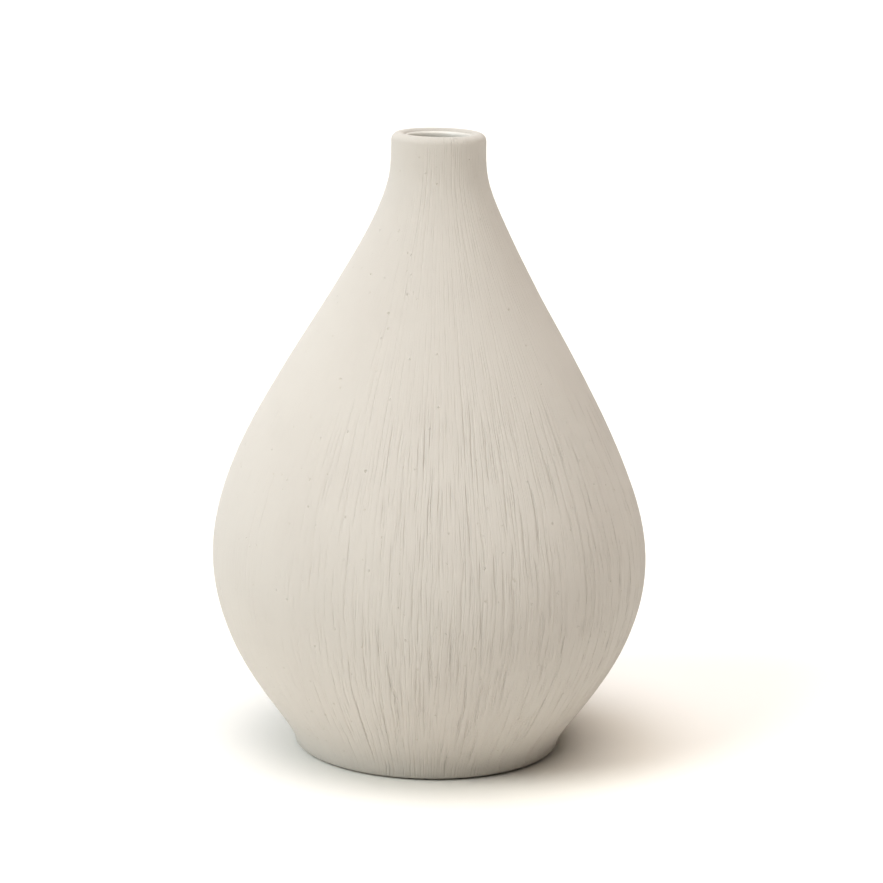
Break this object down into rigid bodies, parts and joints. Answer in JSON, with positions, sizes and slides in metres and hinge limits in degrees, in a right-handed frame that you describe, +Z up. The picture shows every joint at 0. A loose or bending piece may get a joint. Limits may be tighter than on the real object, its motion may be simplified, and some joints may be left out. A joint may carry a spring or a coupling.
{
  "type": "bud vase",
  "caption": "Teardrop-shaped ceramic bud vase with combed vertical grooves, a narrow neck for a stem, a glazed inside that holds water and soft pads under a recessed foot.",
  "frame": {"origin": "on the axis of the vase, in the plane of the surface that it stands on", "axes": "+Z up along the axis of the vase, from the foot to the mouth; the vase is round, so X and Y are free"},
  "size_m": [0.112, 0.112, 0.16],
  "materials": {
    "stoneware_body": "unglazed, matt, combed",
    "liner_glaze": "clear liner glaze, glossy",
    "foot_pad": "matt, translucent"
  },
  "bodies": {
    "root": {"stoneware_body": "stoneware_body", "liner_glaze": "liner_glaze", "foot_pad_1": "foot_pad", "foot_pad_2": "foot_pad", "foot_pad_3": "foot_pad"}
  },
  "joints": []
}
